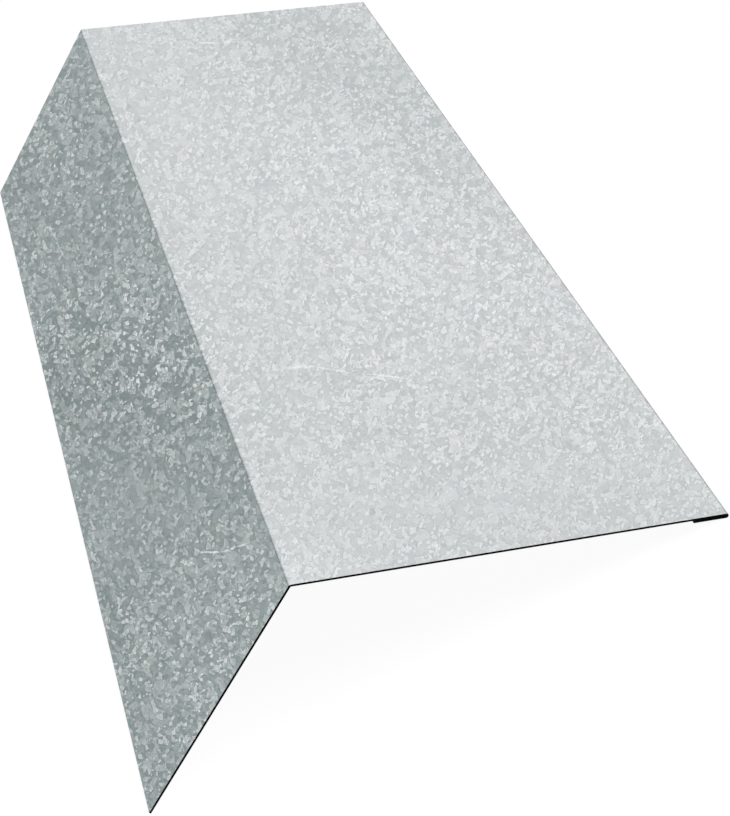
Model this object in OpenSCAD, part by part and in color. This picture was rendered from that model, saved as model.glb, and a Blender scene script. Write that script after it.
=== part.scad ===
// Eaves flashing, a length of thin galvanised sheet folded once along its length.
// The wide flange lies on the roof deck, and the narrower leg turns down over
// the fascia board. The flange's free edge is doubled back under itself as a hem.
// It is one piece of sheet, and lies here as it rests unheld on level ground:
// fold uppermost, on the leg's cut edge and the rounded edge of the hem.
// +Y runs along the fold, +X towards the hem, and +Z up. The origin is on the
// ground, in the middle of the footprint.

/* [Flashing] */
// Length along the fold
length = 475; // [100:5:3000]
// Width of the flange, from the fold's outer corner to the hem's rounded edge
flange_w = 150; // [60:1:400]
// Width of the leg, from the fold's outer corner to its cut edge
leg_w = 100; // [30:1:300]
// Angle between the flange and the leg, inside the fold
fold_angle = 120; // [95:1:150]

/* [Sheet] */
// Thickness of the sheet
sheet_t = 0.8; // [0.4:0.05:1.2]
// Inner radius of the fold
fold_r = 0.1; // [0.1:0.1:2]

/* [Hem] */
// Width of the hem, from its rounded edge to the sheet's cut edge
hem_w = 12.5; // [6:0.5:25]
// Gap between the hem's two layers
hem_gap = 0.2; // [0.1:0.1:1]

/* [Hidden] */

// Straight steps that each bend's arc is drawn with
arc_steps = 16;

// The section is drawn about the fold's centre, with the flange level along +X
// and the leg turned down from -X.
turn = 180 - fold_angle;
fold_centre = [0, 0];
fold_ro = fold_r + sheet_t;
corner_reach = fold_ro * tan(turn / 2);
leg_run = leg_w - corner_reach;
leg_tip = turned([-leg_run, fold_ro], turn);
leg_foot = turned([-leg_run, fold_r], turn);

hem_ri = hem_gap / 2;
hem_ro = hem_ri + sheet_t;
hem_centre = [flange_w - corner_reach - hem_ro, fold_ro - hem_ro];
hem_edge_x = hem_centre.x + hem_ro - hem_w;

// The flashing rests on the inner corner of the leg's edge and on the hem's
// round, so the flange leans by the angle that brings both down to one level.
foot_span = hem_centre - leg_foot;
lean = atan2(foot_span.y, foot_span.x) - asin(hem_ro / norm(foot_span));
left_x = turned(leg_tip, -lean).x;
right_x = turned(hem_centre, -lean).x + hem_ro;
ground_y = turned(leg_foot, -lean).y;

// A point of the section, turned about the fold's centre
function turned(p, angle) =
    [p.x * cos(angle) - p.y * sin(angle), p.x * sin(angle) + p.y * cos(angle)];

// Points along a bend's arc
function arc(centre, r, from, to) = [
    for (i = [0 : arc_steps])
        let (angle = from + (to - from) * i / arc_steps)
            centre + r * [cos(angle), sin(angle)]
];

// The sheet's outer face from the leg's edge over the fold and round the hem,
// then its inner face all the way back
module section() {
    polygon(concat(
        [leg_tip],
        arc(fold_centre, fold_ro, 90 + turn, 90),
        arc(hem_centre, hem_ro, 90, -90),
        [[hem_edge_x, hem_centre.y - hem_ro], [hem_edge_x, hem_centre.y - hem_ri]],
        arc(hem_centre, hem_ri, -90, 90),
        arc(fold_centre, fold_r, 90, 90 + turn),
        [leg_foot]
    ));
}

module eaves_flashing() {
    color([0.75, 0.78, 0.78])
        rotate([90, 0, 0])
            linear_extrude(length, center = true)
                translate([-(left_x + right_x) / 2, -ground_y])
                    rotate(-lean)
                        section();
}

eaves_flashing();
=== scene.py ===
from collections import namedtuple
from math import asin, atan2, cos, e, hypot, pi, radians, sin, tan

import bmesh
import bpy
from mathutils import Matrix, Vector


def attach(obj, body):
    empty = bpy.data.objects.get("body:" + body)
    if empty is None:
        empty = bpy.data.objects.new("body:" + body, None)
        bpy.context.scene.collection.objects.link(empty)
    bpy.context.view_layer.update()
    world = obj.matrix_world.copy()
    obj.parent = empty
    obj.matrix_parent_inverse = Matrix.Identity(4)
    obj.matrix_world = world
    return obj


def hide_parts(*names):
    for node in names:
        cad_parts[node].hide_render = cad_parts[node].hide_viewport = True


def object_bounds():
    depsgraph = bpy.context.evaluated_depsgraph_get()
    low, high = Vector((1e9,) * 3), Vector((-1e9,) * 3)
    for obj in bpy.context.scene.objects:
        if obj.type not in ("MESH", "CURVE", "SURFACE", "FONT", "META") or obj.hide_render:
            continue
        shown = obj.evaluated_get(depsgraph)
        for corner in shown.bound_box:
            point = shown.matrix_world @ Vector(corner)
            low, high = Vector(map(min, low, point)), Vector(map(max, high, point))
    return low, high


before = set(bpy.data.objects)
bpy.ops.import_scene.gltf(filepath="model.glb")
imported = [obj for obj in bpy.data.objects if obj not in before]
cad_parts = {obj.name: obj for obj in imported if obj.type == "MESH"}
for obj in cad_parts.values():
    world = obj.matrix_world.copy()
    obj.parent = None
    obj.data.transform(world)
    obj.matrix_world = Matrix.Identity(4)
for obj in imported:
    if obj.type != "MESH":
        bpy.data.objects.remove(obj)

cad_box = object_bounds()

# The eaves flashing is made as a folder makes it: one flat galvanised sheet is scored,
# folded and hemmed, and then laid down as it rests unheld on level ground.

# Driving sizes of the flashing, in metres
FLANGE_W = 0.150
LEG_W = 0.100
FOLD_ANGLE = radians(120)
SHEET_T = 0.0008
FOLD_R = 0.0001
HEM_W = 0.0125
HEM_GAP = 0.0002
LENGTH = cad_box[1][1] - cad_box[0][1]

# The bends, in radii of the sheet's middle, and the flat runs between them
TURN = pi - FOLD_ANGLE
FOLD_MID_R = FOLD_R + SHEET_T / 2
FOLD_OUTER_R = FOLD_R + SHEET_T
HEM_MID_R = (HEM_GAP + SHEET_T) / 2
HEM_OUTER_R = HEM_GAP / 2 + SHEET_T
CORNER_REACH = FOLD_OUTER_R * tan(TURN / 2)
LEG_RUN = LEG_W - CORNER_REACH
FLANGE_RUN = FLANGE_W - CORNER_REACH - HEM_OUTER_R
HEM_RUN = HEM_W - HEM_OUTER_R

# Each bend is pressed in this many steps
FOLD_STEPS = 10
HEM_STEPS = 16


def chord(radius, angle, steps):
    """The straight step that a bend is pressed in."""
    return 2 * radius * sin(angle / steps / 2)


FOLD_CHORD = chord(FOLD_MID_R, TURN, FOLD_STEPS)
HEM_CHORD = chord(HEM_MID_R, pi, HEM_STEPS)

# The flat blank, measured along X from the fold's flange side
LEG_EDGE_X = -FOLD_STEPS * FOLD_CHORD - LEG_RUN
HEM_EDGE_X = FLANGE_RUN + HEM_STEPS * HEM_CHORD + HEM_RUN
FOLD_LINES = [-i * FOLD_CHORD for i in range(FOLD_STEPS + 1)]
HEM_LINES = [FLANGE_RUN + i * HEM_CHORD for i in range(HEM_STEPS + 1)]
# A narrow strip beside each bend takes up its smooth shading, so the flats stay flat
STRIP = 0.00004
STRIP_LINES = [FOLD_LINES[-1] - STRIP, FOLD_LINES[0] + STRIP,
               HEM_LINES[0] - STRIP, HEM_LINES[-1] + STRIP]
# The flats are scored into squares of about this size
GRID = 0.025
# A corner this close to a scored line lies on it
ON_LINE = 1e-6


def lying_place():
    """Where the flashing lies, from the flange-level frame about the fold's centre."""
    def on_leg(radius):
        return (-LEG_RUN * cos(TURN) - radius * sin(TURN), -LEG_RUN * sin(TURN) + radius * cos(TURN))

    def leant(x, z):
        return (x * cos(lean) + z * sin(lean), -x * sin(lean) + z * cos(lean))

    foot_x, foot_z = on_leg(FOLD_R)
    span_x, span_z = FLANGE_RUN - foot_x, FOLD_OUTER_R - HEM_OUTER_R - foot_z
    lean = atan2(span_z, span_x) - asin(HEM_OUTER_R / hypot(span_x, span_z))
    left = leant(*on_leg(FOLD_OUTER_R))[0]
    right = leant(FLANGE_RUN, FOLD_OUTER_R - HEM_OUTER_R)[0] + HEM_OUTER_R
    ground = leant(foot_x, foot_z)[1]
    return Matrix.Translation((-(left + right) / 2, 0, -ground)) @ Matrix.Rotation(lean, 4, "Y")


LYING = lying_place()


def deselect():
    bpy.ops.object.select_all(action="DESELECT")


def cut_blank():
    """The flat sheet, its middle surface level with the flange."""
    deselect()
    middle_x = (LEG_EDGE_X + HEM_EDGE_X) / 2
    bpy.ops.mesh.primitive_plane_add(size=1, location=(middle_x, 0, FOLD_MID_R))
    blank = bpy.context.object
    blank.name = "folded_sheet"
    blank.scale = (HEM_EDGE_X - LEG_EDGE_X, LENGTH, 1)
    bpy.ops.object.transform_apply(location=True, rotation=True, scale=True)
    return blank


def score(line, across):
    """Scores the blank at one measure, across the direction given."""
    bpy.ops.mesh.select_all(action="SELECT")
    bpy.ops.mesh.bisect(plane_co=across * line, plane_no=across)


def score_blank():
    """Scores the flats' grid, the bends' lines and the strips beside them."""
    along_x, along_y = Vector((1, 0, 0)), Vector((0, 1, 0))
    rows = round(LENGTH / GRID)
    leg_columns = round(LEG_RUN / GRID)
    flange_columns = round(FLANGE_RUN / GRID)
    bpy.ops.object.mode_set(mode="EDIT")
    for i in range(1, rows):
        score(-LENGTH / 2 + i * LENGTH / rows, along_y)
    for i in range(1, leg_columns):
        score(LEG_EDGE_X + i * LEG_RUN / leg_columns, along_x)
    for i in range(1, flange_columns):
        score(i * FLANGE_RUN / flange_columns, along_x)
    for line in FOLD_LINES + HEM_LINES + STRIP_LINES:
        score(line, along_x)
    bpy.ops.object.mode_set(mode="OBJECT")


# The UV map that holds the flat sheet's own measures
FLAT_MAP = "sheet"


def map_flat(blank):
    """Writes the flat sheet's own measures, in metres, into its UV map."""
    uv = blank.data.uv_layers[0]
    uv.name = FLAT_MAP
    for loop in blank.data.loops:
        place = blank.data.vertices[loop.vertex_index].co
        uv.data[loop.index].uv = (place.x, place.y)


def press(blank, flat_x, line, beyond, angle):
    """Turns about a scored line the corners that lay beyond it when the sheet was flat."""
    mesh = bmesh.from_edit_mesh(blank.data)
    for v in mesh.verts:
        v.select = beyond * (flat_x[v.index] - line) > ON_LINE
    mesh.select_flush_mode()
    bmesh.update_edit_mesh(blank.data)
    bpy.ops.transform.rotate(value=angle, orient_axis="Y", center_override=(line, 0, FOLD_MID_R))


def press_bend(blank, flat_x, lines, beyond, angle):
    """A bend is pressed line by line from its far side, with half a step at each end."""
    steps = len(lines) - 1
    bpy.ops.object.mode_set(mode="EDIT")
    for i in reversed(range(steps + 1)):
        share = 0.5 if i in (0, steps) else 1
        press(blank, flat_x, lines[i], beyond, share * angle / steps)
    bpy.ops.object.mode_set(mode="OBJECT")


def apply_modifiers(piece):
    for modifier in list(piece.modifiers):
        bpy.ops.object.modifier_apply(modifier=modifier.name)


# The sheet's materials come in the order outside, inside and cut edge
INSIDE, EDGE = 1, 2
# The shears leave their edges rounded by this much, in this many steps. No other
# edge is as sharp as the third value.
SHEAR_ROUND = 0.00012
SHEAR_STEPS = 2
SHEARED_FROM = radians(60)
# The bends' small steps are shaded smooth, and the rounded shears aren't, so that
# the flats stay flat up to their cut edges
SMOOTH_BELOW = radians(15)


def thicken(blank, materials):
    """Gives the sheet its thickness, half to each side of its middle surface."""
    for material in materials:
        blank.data.materials.append(material)
    bpy.ops.object.modifier_add(type="SOLIDIFY")
    solidify = blank.modifiers[-1]
    solidify.thickness = SHEET_T
    solidify.offset = 0
    solidify.use_even_offset = True
    solidify.material_offset = INSIDE
    solidify.material_offset_rim = EDGE
    apply_modifiers(blank)


def map_cut_edges(sheet, first_inside):
    """Lays the sheared faces out flat, along the cut and down through the sheet.

    The corners on the sheet's inside come after those on its outside.
    """
    uv = sheet.data.uv_layers[FLAT_MAP]
    for face in sheet.data.polygons:
        if face.material_index != EDGE:
            continue
        flat = [uv.data[i].uv.copy() for i in face.loop_indices]
        across_end = max(p.x for p in flat) - min(p.x for p in flat) > ON_LINE
        for i, place in zip(face.loop_indices, flat):
            depth = SHEET_T * (sheet.data.loops[i].vertex_index >= first_inside)
            uv.data[i].uv = (place.x if across_end else place.y, depth)


def round_shears(sheet):
    bpy.ops.object.modifier_add(type="BEVEL")
    bevel = sheet.modifiers[-1]
    bevel.width = SHEAR_ROUND
    bevel.segments = SHEAR_STEPS
    bevel.material = EDGE
    bevel.angle_limit = SHEARED_FROM
    bevel.use_clamp_overlap = False
    apply_modifiers(sheet)


def make_sheet(materials):
    """The flashing: a flat blank, folded, hemmed, thickened and laid down."""
    sheet = cut_blank()
    score_blank()
    map_flat(sheet)
    flat_x = [v.co.x for v in sheet.data.vertices]
    press_bend(sheet, flat_x, FOLD_LINES, -1, TURN)
    press_bend(sheet, flat_x, HEM_LINES, 1, -pi)
    thicken(sheet, materials)
    map_cut_edges(sheet, len(flat_x))
    round_shears(sheet)
    sheet.matrix_world = LYING
    bpy.ops.object.transform_apply(location=True, rotation=True, scale=True)
    bpy.ops.object.shade_smooth_by_angle(angle=SMOOTH_BELOW)
    return sheet


WHITE = (1, 1, 1, 1)
BLACK = (0, 0, 0, 1)
# The middle of a noise's colour, and half of a normal map's range
HALF = (0.5, 0.5, 0.5)


class Wiring:
    """Short calls that wire a node tree. Each input is a plain value or another node's output."""

    def __init__(self, tree):
        self.tree = tree

    def fill(self, socket, value):
        if isinstance(value, bpy.types.NodeSocket):
            self.tree.links.new(value, socket)
        else:
            socket.default_value = value

    def node(self, kind, inputs=None, **settings):
        node = self.tree.nodes.new("ShaderNode" + kind)
        for name, value in settings.items():
            setattr(node, name, value)
        for name, value in (inputs or {}).items():
            self.fill(node.inputs[name], value)
        return node

    def math(self, operation, *values, clamp=False):
        inputs = dict(enumerate(values))
        return self.node("Math", inputs, operation=operation, use_clamp=clamp).outputs[0]

    def vector(self, operation, *values):
        node = self.node("VectorMath", dict(enumerate(values)), operation=operation)
        return node.outputs["Value" if operation in ("DOT_PRODUCT", "LENGTH") else "Vector"]

    def join(self, x, y, z=0.0):
        return self.node("CombineXYZ", {"X": x, "Y": y, "Z": z}).outputs[0]

    def split(self, vector):
        return self.node("SeparateXYZ", {0: vector}).outputs

    def ramp(self, value, low, high, to_low=0.0, to_high=1.0, smooth=False):
        """Maps low to high onto to_low to to_high, and holds the ends beyond."""
        inputs = {"Value": value, "From Min": low, "From Max": high, "To Min": to_low, "To Max": to_high}
        kind = "SMOOTHSTEP" if smooth else "LINEAR"
        return self.node("MapRange", inputs, clamp=True, interpolation_type=kind).outputs[0]

    def about_zero(self, chance):
        """A noise or a chance value, which lies about a half, moved to lie about 0."""
        return self.math("SUBTRACT", chance, 0.5)

    def noise(self, place, scale, detail=2.0, roughness=0.5):
        inputs = {"Vector": place, "Scale": scale, "Detail": detail, "Roughness": roughness}
        return self.node("TexNoise", inputs)

    def spread(self, noise, to_low, to_high):
        """A noise, which seldom leaves 0.3 to 0.7, drawn out over a range."""
        return self.ramp(noise, 0.3, 0.7, to_low, to_high)

    def mix(self, factor, a, b):
        """Colour a at factor 0 and colour b at 1, by the node's sockets for colours."""
        return self.node("Mix", {0: factor, 6: a, 7: b}, data_type="RGBA").outputs[2]


def new_material(name):
    """A new material, its wiring and its shader."""
    material = bpy.data.materials.new(name)
    material.use_nodes = True
    return material, Wiring(material.node_tree), material.node_tree.nodes["Principled BSDF"]


# The zinc's pattern is measured in millimetres on the flat sheet
MM = 1000
# What differs between leg and flange goes over within this distance of the fold
FOLD_BLEND = 1


def flat_place(wiring):
    """The flat sheet's own measures, in metres."""
    return wiring.split(wiring.node("UVMap", uv_map=FLAT_MAP).outputs[0])


def sheet_measures(wiring):
    """Millimetres across the flat sheet from the fold, and along it from the near end."""
    flat = flat_place(wiring)
    across = wiring.math("MULTIPLY", flat["X"], MM)
    along = wiring.math("MULTIPLY_ADD", flat["Y"], MM, LENGTH * MM / 2)
    return across, along


def by_side(wiring, across, on_leg, on_flange):
    """One value on the leg and another on the flange."""
    return wiring.ramp(across, -FOLD_BLEND, FOLD_BLEND, on_leg, on_flange)


# The crystals are drawn out along the sheet, at the near end to this many times their
# width
STRETCH = 1.47
# They lie aslant, this far along the sheet for each millimetre across it. On the leg
# the last value is added to their slant by the far end.
FLANGE_SLANT = -0.36
LEG_SLANT, LEG_SLANT_MORE = 0.71, 0.46
# On the leg they are wider, because this share is taken off their measure across
LEG_WIDENING = 0.25
# From the near end to the far end they grow by these shares
GROWTH_ACROSS, GROWTH_ALONG = 0.53, 1.25
# Their borders are jagged by a noise, with waves of about this length and depth
JAG_LENGTH, JAG_DEPTH, JAG_ROUGHNESS = 1.0, 0.8, 0.65


def crystal_plane(wiring, across, along, moved_by):
    """The place in the plane that the crystals are drawn on, where a layer's are all of one size."""
    length = LENGTH * MM
    coarseness = wiring.math("MULTIPLY_ADD", along, GROWTH_ACROSS / length, 1)
    on_leg = wiring.math("MINIMUM", across, 0)
    on_flange = wiring.math("MAXIMUM", across, 0)
    x = wiring.math("MULTIPLY_ADD", on_leg, -LEG_WIDENING, across)
    x = wiring.math("DIVIDE", x, coarseness)
    leg_slant = wiring.math("MULTIPLY_ADD", along, LEG_SLANT_MORE / length, LEG_SLANT)
    along = wiring.math("MULTIPLY_ADD", on_leg, leg_slant, along)
    along = wiring.math("MULTIPLY_ADD", on_flange, FLANGE_SLANT, along)
    lengthening = wiring.math("MULTIPLY_ADD", along, GROWTH_ALONG / length, 1)
    y = wiring.math("LOGARITHM", lengthening, e)
    y = wiring.math("MULTIPLY", y, length / GROWTH_ALONG / STRETCH)
    place = wiring.join(wiring.math("ADD", x, moved_by), y, moved_by)
    jags = wiring.noise(place, 1 / JAG_LENGTH, roughness=JAG_ROUGHNESS).outputs["Color"]
    shift = wiring.vector("SUBTRACT", jags, HALF)
    return wiring.vector("MULTIPLY_ADD", shift, (JAG_DEPTH, JAG_DEPTH, 0), place)


# The crystals' layers: their size, and how far each layer's pattern is moved, so that
# no two layers line up
Layer = namedtuple("Layer", "size moved_by")
BED = Layer(2.6, 11)
PLATE = Layer(2.0, 31)
GRAIN = Layer(1.25, 57)
SPECK = Layer(0.6, 83)
# The inside's layers are all moved by this much more, so they aren't the outside's
INSIDE_MOVED_BY = 500

# Some plates, grains and specks stand out as flakes. The shares that do are smaller
# where the crystals are sparse and larger where they gather, in clusters of this size.
CLUSTER = 4.2
PLATE_SHARE = (0.31, 0.47)
GRAIN_SHARE = (0.12, 0.27)
SPECK_SHARE = 0.05
# How bright they are, from the faintest to the strongest, with 0 for dull zinc and 1
# for bright zinc
PLATE_BRIGHT = (0.3, 0.43)
GRAIN_BRIGHT = (0.4, 0.64)
SPECK_BRIGHT = (0.4, 0.75)
# The ground between them, and what the bed's and the grains' chance values add to it
GROUND_BRIGHT, BED_ADDS, GRAIN_ADDS = 0.03, 0.07, 0.16
# A raised flake's border works this far to both sides. So many times the step in
# brightness is added inside it, as a bright rim of painted highlight, and taken away outside, as a dark
# foot of painted shade.
BORDER = 0.25
RIM_HIGHLIGHT, FOOT_SHADE = 0.26, 1.3
# Where a ramp works as a switch, it goes over within this much
SWITCH = 0.01

# Soft mottling of this size, on the leg and on the flange
MOTTLE_SIZE = 5.5
MOTTLE_DEPTH = (0.1, 0.25)
# Fine steps from speck to speck. As the brightness goes from the first value to the
# second, they grow from the third to the fourth.
FINE_STEPS = (0.25, 0.4, 0.2, 0.3)


def crystals(wiring, place, layer, which="F1"):
    """The distance to the nearest crystal (F1) or the next one (F2), and its chance values."""
    moved = wiring.vector("ADD", place, (layer.moved_by, -layer.moved_by, 0))
    inputs = {"Vector": moved, "Scale": 1 / layer.size, "Randomness": 1}
    cells = wiring.node("TexVoronoi", inputs, voronoi_dimensions="2D", feature=which)
    chances = wiring.node("SeparateColor", {0: cells.outputs["Color"]}).outputs
    return cells.outputs["Distance"], chances


def flakes(wiring, chances, share, bright):
    """How bright the crystals are that stand out, a share of them all, each by its own amount."""
    edge = wiring.math("SUBTRACT", 1, share)
    stands_out = wiring.ramp(chances[0], edge, wiring.math("ADD", edge, SWITCH))
    return wiring.math("MULTIPLY", stands_out, wiring.ramp(chances[1], 0, 1, *bright))


def raised_flakes(wiring, place, layer, share, bright):
    """A layer's flakes, and their relief painted in: a painted highlight as a bright rim inside and
    painted shade as a dark foot outside.
    """
    to_this, this = crystals(wiring, place, layer)
    to_next, next_one = crystals(wiring, place, layer, "F2")
    level = flakes(wiring, this, share, bright)
    step = wiring.math("SUBTRACT", level, flakes(wiring, next_one, share, bright))
    # The next crystal is farther than this one by about twice the way to their border
    to_border = wiring.math("SUBTRACT", to_next, to_this)
    strength = wiring.ramp(step, -SWITCH, SWITCH, FOOT_SHADE, RIM_HIGHLIGHT)
    near = wiring.ramp(to_border, 0, 2 * BORDER / layer.size, 1, 0)
    painted_relief = wiring.math("MULTIPLY", step, wiring.math("MULTIPLY", strength, near))
    return level, painted_relief


def spangle(wiring, place, across):
    """How bright the crystals are, with 0 for dull zinc and 1 for bright zinc."""
    bed = crystals(wiring, place, BED)[1]
    grain = crystals(wiring, place, GRAIN)[1]
    speck = crystals(wiring, place, SPECK)[1]
    gathered = wiring.noise(place, 1 / CLUSTER).outputs[0]
    plate_share = wiring.spread(gathered, *PLATE_SHARE)
    grain_share = wiring.spread(gathered, *GRAIN_SHARE)
    plates, plate_painted_relief = raised_flakes(wiring, place, PLATE, plate_share, PLATE_BRIGHT)
    grains, grain_painted_relief = raised_flakes(wiring, place, GRAIN, grain_share, GRAIN_BRIGHT)
    specks = flakes(wiring, speck, SPECK_SHARE, SPECK_BRIGHT)

    bright = wiring.math("MULTIPLY_ADD", bed[0], BED_ADDS, GROUND_BRIGHT)
    bright = wiring.math("MULTIPLY_ADD", grain[2], GRAIN_ADDS, bright)
    for level in (plates, grains, specks):
        bright = wiring.math("MAXIMUM", bright, level)
    # The flakes' painted highlights and painted shade are added to the brightness
    for painted_relief in (plate_painted_relief, grain_painted_relief):
        bright = wiring.math("ADD", bright, painted_relief)
    mottle = wiring.about_zero(wiring.noise(place, 1 / MOTTLE_SIZE, detail=1).outputs[0])
    bright = wiring.math("MULTIPLY_ADD", mottle, by_side(wiring, across, *MOTTLE_DEPTH), bright)
    steps = wiring.ramp(bright, *FINE_STEPS)
    return wiring.math("MULTIPLY_ADD", wiring.about_zero(speck[1]), steps, bright)


# Soft places where the crystals stand out more or less than elsewhere, and others
# where the zinc is paler or duller: each one's middle across and along the sheet,
# how far it reaches both ways, its slant and what it adds. It is full within the
# first share of its reach and fades out to the second.
FULL_WITHIN, GONE_BEYOND = 0.2, 1.3
LIVELY_PLACES = [
    (-50, 240, 75, 1500, 0, 0.07),
    (-50, 222, 70, 62, -1.6, 0.55),
    (-50, 118, 60, 24, -1.43, -0.22),
    (-70, 135, 35, 40, 0, -0.3),
    (-45, 95, 30, 25, 0, -0.25),
    (-50, 335, 35, 30, 0, -0.3),
    (-10, 435, 25, 25, 0, -0.25),
    (-30, 275, 25, 35, 0, -0.1),
    (-60, 20, 90, 60, 0, -0.12),
    (75, 32, 130, 16, 0, -0.2),
    (90, 8, 90, 40, 0, -0.2),
    (15, 465, 25, 25, 0, -0.25),
    (16, 240, 36, 280, 0, -0.24),
    (30, 400, 50, 90, 0, -0.15),
    (140, 320, 30, 60, 0, 0.15),
    (150, 240, 50, 300, 0, 0.18),
]
PALE_PLACES = [
    (2, -122, 94, 148, -1.7, 0.245),
    (-89, 261, 15, 60, 0, -0.14),
    (-82, 447, 19, 72, -0.5, -0.095),
    (-45, 262, 34, 74, -1.1, 0.08),
    (-55, 256, 23, 127, 1.1, -0.115),
    (136, 361, 125, 158, -2.8, -0.07),
    (98, 182, 57, 92, 0, 0.04),
    (102, 15, 74, 21, -0.2, -0.02),
    (60, 299, 82, 76, 0, 0.025),
]
# Besides its places, the liveliness drifts between these two values, in slow waves
DRIFT = (0.83, 1.11)
DRIFT_WAVES_PER_MM = 0.03
# The paler places are a little warmer too
PALE_COLOUR = (1.1, 1, 1)

# The zinc's colour also varies between warm and cool, in patches of this size and
# finer, by these amounts on the leg and on the flange
TINT_SIZE = 8
TINT_DEPTH = (0.17, 0.085)
TINT_DETAIL, TINT_ROUGHNESS = 4, 0.95


def soft_places(wiring, across, along, places, level):
    """The level, and what the soft places add to it here."""
    for x, y, reach_x, reach_y, slant, added in places:
        from_x = wiring.math("SUBTRACT", across, x)
        centre = wiring.math("MULTIPLY_ADD", from_x, slant, y)
        from_y = wiring.math("SUBTRACT", along, centre)
        scaled_x = wiring.math("DIVIDE", from_x, reach_x)
        scaled_y = wiring.math("DIVIDE", from_y, reach_y)
        away = wiring.vector("LENGTH", wiring.join(scaled_x, scaled_y))
        nearness = wiring.ramp(away, FULL_WITHIN, GONE_BEYOND, 1, 0, smooth=True)
        level = wiring.math("MULTIPLY_ADD", nearness, added, level)
    return level


def liveliness(wiring, across, along, places):
    """What the crystals' contrast is multiplied by."""
    chance = wiring.noise(wiring.join(across, along), DRIFT_WAVES_PER_MM).outputs[0]
    return soft_places(wiring, across, along, places, wiring.spread(chance, *DRIFT))


def paleness(wiring, across, along, places):
    """What the colour is multiplied by for the paler and duller places."""
    pale = soft_places(wiring, across, along, places, 0.0)
    return wiring.vector("MULTIPLY_ADD", wiring.join(pale, pale, pale), PALE_COLOUR, (1, 1, 1))


def tint(wiring, place, across):
    """What the colour is multiplied by: here and there the zinc is a little warmer or cooler."""
    patches = wiring.noise(place, 1 / TINT_SIZE, TINT_DETAIL, TINT_ROUGHNESS)
    chances = wiring.vector("SUBTRACT", patches.outputs["Color"], HALF)
    depth = by_side(wiring, across, *TINT_DEPTH)
    return wiring.vector("MULTIPLY_ADD", chances, wiring.join(depth, 0.0, depth), (1, 1, 1))


# Scratches and rubs from handling, stroke by stroke: a stroke's start and end across
# and along the sheet, half its width at the start and at the end, and how deep it is
SCRATCHES = [
    ((29.3, 127.8), (38.5, 125), 1.6, 0.8, 0.55),
    ((37, 126.2), (52, 116.4), 0.8, 0.4, 0.7),
    ((55, 116), (72, 106.8), 0.9, 0.5, 0.85),
    ((131.3, 96.3), (139.5, 93.8), 1.7, 0.9, 0.8),
    ((138, 94.4), (152, 86.4), 0.8, 0.5, 0.62),
    ((53.5, 442.6), (66, 438.8), 1.8, 0.8, 1),
    ((65, 438.8), (75, 439), 0.9, 0.7, 0.7),
    ((75, 439), (90, 450.5), 0.8, 0.6, 0.42),
    ((-37, 66.6), (-24.3, 49.6), 0.6, 0.3, 1),
    ((-26, 51.6), (-10, 36.3), 0.45, 0.3, 0.85),
]
# A stroke wavers to its sides by a noise of this depth
WAVER_DEPTH, WAVERS_PER_MM = 1.2, 0.25
# It begins and ends softly over these shares of its length
SOFT_START, SOFT_END = 0.2, 0.25
# Another noise breaks it. Below the first value a stroke is down to the third, a share
# of its depth, and above the second it is whole.
BREAK_BELOW, WHOLE_ABOVE, BREAK_SHARE = 0.4, 0.5, 0.7
BREAKS_PER_MM = 0.8
# Strokes and the darkened lines along the bends, of dulled zinc and painted shade, are at their fullest
# over this share of their width
FULL_WIDTH = 0.5


def scratched(wiring, across, along, strokes):
    """How deep the scratches are here, from 0 to 1."""
    place = wiring.join(across, along)
    waver = wiring.about_zero(wiring.noise(place, WAVERS_PER_MM).outputs[0])
    chance = wiring.noise(place, BREAKS_PER_MM).outputs[0]
    breaks = wiring.ramp(chance, BREAK_BELOW, WHOLE_ABOVE, BREAK_SHARE, 1)
    deepest = 0.0
    for (x0, y0), (x1, y1), half_width, half_width_at_end, depth in strokes:
        length = hypot(x1 - x0, y1 - y0)
        run = ((x1 - x0) / length, (y1 - y0) / length, 0)
        side = (-run[1], run[0], 0)
        from_start = wiring.vector("SUBTRACT", place, (x0, y0, 0))
        way = wiring.math("DIVIDE", wiring.vector("DOT_PRODUCT", from_start, run), length)
        aside = wiring.vector("DOT_PRODUCT", from_start, side)
        aside = wiring.math("ABSOLUTE", wiring.math("MULTIPLY_ADD", waver, WAVER_DEPTH, aside))
        reach = wiring.ramp(way, 0, 1, half_width, half_width_at_end)
        near = wiring.ramp(wiring.math("DIVIDE", aside, reach), FULL_WIDTH, 1, depth, 0)
        begun = wiring.ramp(way, 0, SOFT_START)
        left = wiring.ramp(way, 1 - SOFT_END, 1, 1, 0)
        here = wiring.math("MULTIPLY", wiring.math("MULTIPLY", near, begun), left)
        deepest = wiring.math("MAXIMUM", here, deepest)
    return wiring.math("MULTIPLY", deepest, breaks)


# The zinc is a little darker along the bends, partly dulled by stretching and partly painted shade in the
# creases: the middle of each such line across the sheet, its half width and how much it darkens
HEM_START = FLANGE_RUN * MM
STRETCH_AND_SHADE = [(-0.58, 0.3, 0.28), (HEM_START + 0.45, 0.6, 0.45)]
# Inside the hem the zinc is painted dark as shade between its two layers, which fades out at its mouth
HEM_MIDDLE = HEM_START + HEM_MID_R * pi * MM / 2
HEM_SHADE_REACH = HEM_RUN * MM
HEM_SHADE_FADE = 0.8
HEM_SHADE = 0.97


def stretch_and_shade(wiring, across):
    """How much the zinc is darkened along the bends here, by stretching and by painted shade."""
    darkest = 0.0
    for middle, half_width, amount in STRETCH_AND_SHADE:
        aside = wiring.math("ABSOLUTE", wiring.math("SUBTRACT", across, middle))
        here = wiring.ramp(aside, half_width * FULL_WIDTH, half_width, amount, 0)
        darkest = wiring.math("MAXIMUM", here, darkest)
    return darkest


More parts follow.
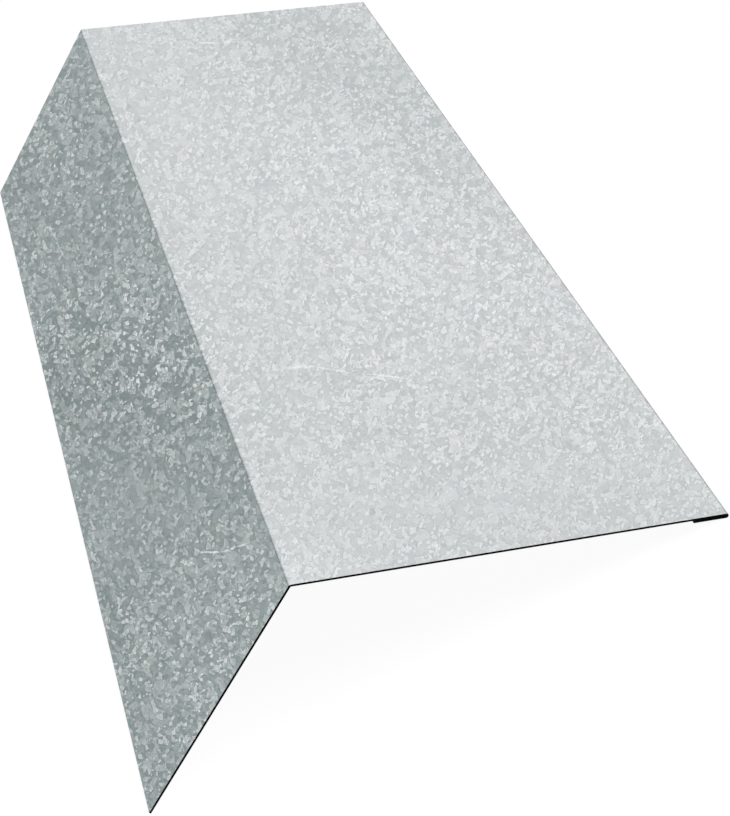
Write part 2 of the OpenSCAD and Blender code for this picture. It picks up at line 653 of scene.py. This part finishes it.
def hem_shade(wiring, across):
    """How much painted shade darkens the zinc between the hem's two layers."""
    aside = wiring.math("ABSOLUTE", wiring.math("SUBTRACT", across, HEM_MIDDLE))
    return wiring.ramp(aside, HEM_SHADE_REACH, HEM_SHADE_REACH + HEM_SHADE_FADE, HEM_SHADE, 0)


DULL_ZINC = (0.5055, 0.535, 0.535, 1)
BRIGHT_ZINC = (0.895, 0.915, 0.902, 1)
# The crystals' contrast is raised and lowered about this brightness
MEAN_BRIGHT = 0.33
# How much brighter a scratch is at its deepest
SCRATCH_BRIGHT = 0.6
# As the brightness goes from the first value to the second, the zinc turns more
# metallic, from the third to the fourth
METALLIC = (0.1, 0.9, 0.16, 0.65)
ZINC_SPECULAR = 0.05
# The smoothest grain's roughness, and how much more the roughest has
ZINC_ROUGHNESS, ROUGHNESS_MORE = 0.42, 0.12
# How far a crystal's face leans across the sheet with its brightness, how much farther
# from the shiny value up, and how far each leans both ways by chance
LEAN_BRIGHT = 0.3
LEAN_SHINY, SHINY_FROM = 0.4, 0.4
LEAN_ANY = 0.2


def leaning_faces(wiring, grain, bright):
    """The crystals' faces as normals: each leans a little, the brighter ones up across the sheet."""
    lean = wiring.math("MULTIPLY", wiring.math("SUBTRACT", bright, MEAN_BRIGHT), LEAN_BRIGHT)
    shiny = wiring.math("MAXIMUM", wiring.math("SUBTRACT", bright, SHINY_FROM), 0)
    lean = wiring.math("MULTIPLY_ADD", shiny, LEAN_SHINY, lean)
    lean_x = wiring.math("MULTIPLY_ADD", wiring.about_zero(grain[1]), LEAN_ANY, lean)
    lean_y = wiring.math("MULTIPLY", wiring.about_zero(grain[2]), LEAN_ANY)
    # A normal map's colour holds the range from -1 to 1 as 0 to 1
    facet = wiring.vector("MULTIPLY_ADD", wiring.join(lean_x, lean_y, 1.0), HALF, HALF)
    return wiring.node("NormalMap", {"Color": facet}, space="TANGENT", uv_map=FLAT_MAP).outputs[0]


def zinc(name, moved_by, darkening_and_shade, lively_places=(), pale_places=(), scratches=()):
    """The zinc on one side of the sheet, with a function that says how much it is darkened: outside by
    stretching and painted shade along the bends, inside by painted shade in the hem.
    """
    material, wiring, shader = new_material(name)
    across, along = sheet_measures(wiring)
    place = crystal_plane(wiring, across, along, moved_by)
    grain = crystals(wiring, place, GRAIN)[1]

    from_mean = wiring.math("SUBTRACT", spangle(wiring, place, across), MEAN_BRIGHT)
    contrast = liveliness(wiring, across, along, lively_places)
    bright = wiring.math("MULTIPLY_ADD", from_mean, contrast, MEAN_BRIGHT)
    if scratches:
        scratch = scratched(wiring, across, along, scratches)
        bright = wiring.math("MULTIPLY_ADD", scratch, SCRATCH_BRIGHT, bright)
    bright = wiring.math("MAXIMUM", bright, 0, clamp=True)

    colour = wiring.mix(bright, DULL_ZINC, BRIGHT_ZINC)
    colour = wiring.vector("MULTIPLY", colour, tint(wiring, place, across))
    if pale_places:
        colour = wiring.vector("MULTIPLY", colour, paleness(wiring, across, along, pale_places))
    # Painted shade along the bends and in the hem, with the bends' stretching, darkens the colour towards
    # black
    colour = wiring.mix(darkening_and_shade(wiring, across), colour, BLACK)
    rough = wiring.math("MULTIPLY_ADD", grain[1], ROUGHNESS_MORE, ZINC_ROUGHNESS)

    wiring.fill(shader.inputs["Base Color"], colour)
    wiring.fill(shader.inputs["Metallic"], wiring.ramp(bright, *METALLIC))
    wiring.fill(shader.inputs["Specular IOR Level"], ZINC_SPECULAR)
    wiring.fill(shader.inputs["Roughness"], rough)
    wiring.fill(shader.inputs["Normal"], leaning_faces(wiring, grain, bright))
    return material


# The cut steel's colours are near-black: bare steel darkened further with painted shade
SHADED_CUT_STEEL = (0.0015, 0.0015, 0.002, 1)
SHADED_WORN_STEEL = (0.006, 0.006, 0.0065, 1)
CUT_SPECULAR = 0.02
# As the marks' noise goes from the first value to the second, the steel turns from cut
# to worn
WORN_BETWEEN = (0.4, 0.75)
# The roughness of the cut steel and of the worn steel
CUT_ROUGHNESS = (0.75, 0.6)
# The marks lie close along the cut and run far through the sheet's thickness
MARKS_PER_MM_ALONG, MARKS_PER_MM_DOWN = 6, 1.5
MARKS_HEIGHT, MARKS_STRENGTH = 0.00002, 0.5


def shaded_sheared_steel():
    """The cut edges: bare steel's dark grey deepened to near-black by painted shade, with marks that run
    through the sheet's thickness.
    """
    material, wiring, shader = new_material("shaded_sheared_steel")
    flat = flat_place(wiring)
    along = wiring.math("MULTIPLY", flat["X"], MM)
    down = wiring.math("MULTIPLY", flat["Y"], MM)
    along = wiring.math("MULTIPLY", along, MARKS_PER_MM_ALONG)
    down = wiring.math("MULTIPLY", down, MARKS_PER_MM_DOWN)
    marks = wiring.noise(wiring.join(along, down), 1, detail=3).outputs[0]
    colour = wiring.mix(wiring.ramp(marks, *WORN_BETWEEN), SHADED_CUT_STEEL, SHADED_WORN_STEEL)
    bump_inputs = {"Strength": MARKS_STRENGTH, "Distance": MARKS_HEIGHT, "Height": marks}

    wiring.fill(shader.inputs["Base Color"], colour)
    wiring.fill(shader.inputs["Roughness"], wiring.spread(marks, *CUT_ROUGHNESS))
    wiring.fill(shader.inputs["Specular IOR Level"], CUT_SPECULAR)
    wiring.fill(shader.inputs["Normal"], wiring.node("Bump", bump_inputs).outputs[0])
    return material


# The camera is measured from the level flange: it stands on the leg's side and
# looks down along the fold at a point beside the near corner.
CAMERA_AZIMUTH = radians(-14.846)
CAMERA_ELEVATION = radians(33.010)
CAMERA_DISTANCE = 0.61808
AIM_RIGHT, AIM_UP = 0.02393, 0.05597
LENS = 86.3


def place_camera():
    data = bpy.data.cameras.new("camera")
    data.lens = LENS
    camera = bpy.data.objects.new("camera", data)
    bpy.context.scene.collection.objects.link(camera)
    turn = Matrix.Rotation(CAMERA_AZIMUTH, 4, "Z") @ Matrix.Rotation(pi / 2 - CAMERA_ELEVATION, 4, "X")
    near_corner = Matrix.Translation((-CORNER_REACH, -LENGTH / 2, FOLD_OUTER_R))
    back_off = Matrix.Translation((AIM_RIGHT, AIM_UP, CAMERA_DISTANCE))
    camera.matrix_world = LYING @ near_corner @ turn @ back_off
    bpy.context.scene.camera = camera


# The floor and the world show white to the camera and in reflections. The floor's
# own share of light keeps the flashing's soft shadow, and for light on its way it is
# a plain pale floor.
FLOOR_SIZE = 6
FLOOR_GLOW = 0.94
FLOOR_SHARE = (0.09, 0.09, 0.09, 1)
FLOOR_PALE = (0.75, 0.75, 0.75, 1)
# The flange is lit mostly by the lamp, and the leg mostly by the world's cooler light
WORLD_LIGHT = (0.1635, 0.255, 0.252, 1)
KEY_LIGHT = (1.118, 1, 1.026)
KEY_STRENGTH = 2.74
KEY_SOFTNESS = radians(35)
# The lamp shines from the hem's side, from above and a little from the near end
KEY_FROM = Vector((0.69, -0.2, 0.70))


def seen_directly(wiring):
    """1 for what the camera sees itself, in a reflection or through glass, and 0 for light on its way."""
    path = wiring.node("LightPath")
    seen = wiring.math("MAXIMUM", path.outputs["Is Camera Ray"], path.outputs["Is Glossy Ray"])
    return wiring.math("MAXIMUM", seen, path.outputs["Is Transmission Ray"])


def lay_floor():
    deselect()
    bpy.ops.mesh.primitive_plane_add(size=FLOOR_SIZE)
    floor = bpy.context.object
    floor.name = "floor"
    material, wiring, shader = new_material("white_floor")
    wiring.tree.nodes.remove(shader)
    pale = wiring.node("BsdfDiffuse", {"Color": FLOOR_PALE}).outputs[0]
    share = wiring.node("BsdfDiffuse", {"Color": FLOOR_SHARE}).outputs[0]
    glow = wiring.node("Emission", {"Strength": FLOOR_GLOW}).outputs[0]
    shown = wiring.node("AddShader", {0: share, 1: glow}).outputs[0]
    mixed = wiring.node("MixShader", {0: seen_directly(wiring), 1: pale, 2: shown}).outputs[0]
    wiring.fill(wiring.tree.nodes["Material Output"].inputs["Surface"], mixed)
    floor.data.materials.append(material)


def light_world():
    world = bpy.data.worlds.new("studio")
    bpy.context.scene.world = world
    world.use_nodes = True
    wiring = Wiring(world.node_tree)
    soft = wiring.node("Background", {"Color": WORLD_LIGHT, "Strength": 1}).outputs[0]
    white = wiring.node("Background", {"Color": WHITE, "Strength": 1}).outputs[0]
    mixed = wiring.node("MixShader", {0: seen_directly(wiring), 1: soft, 2: white}).outputs[0]
    wiring.fill(world.node_tree.nodes["World Output"].inputs["Surface"], mixed)


def hang_lamp():
    lamp = bpy.data.lights.new("key", "SUN")
    lamp.color = KEY_LIGHT
    lamp.energy = KEY_STRENGTH
    lamp.angle = KEY_SOFTNESS
    key = bpy.data.objects.new("key", lamp)
    key.rotation_euler = KEY_FROM.to_track_quat("Z", "Y").to_euler()
    # The lamp gives no glare of its own, so the zinc mirrors only the white studio
    key.visible_glossy = False
    bpy.context.scene.collection.objects.link(key)


bpy.context.scene.view_settings.view_transform = "Standard"
place_camera()
lay_floor()
light_world()
hang_lamp()
# The outside's bends and the inside's hem get painted shade, and the cut edges are painted near-black as
# shade
sheet = make_sheet([
    zinc("zinc_outside", 0, stretch_and_shade, LIVELY_PLACES, PALE_PLACES, SCRATCHES),
    zinc("zinc_inside", INSIDE_MOVED_BY, hem_shade),
    shaded_sheared_steel(),
])
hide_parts("eaves_flashing")
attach(sheet, "root")
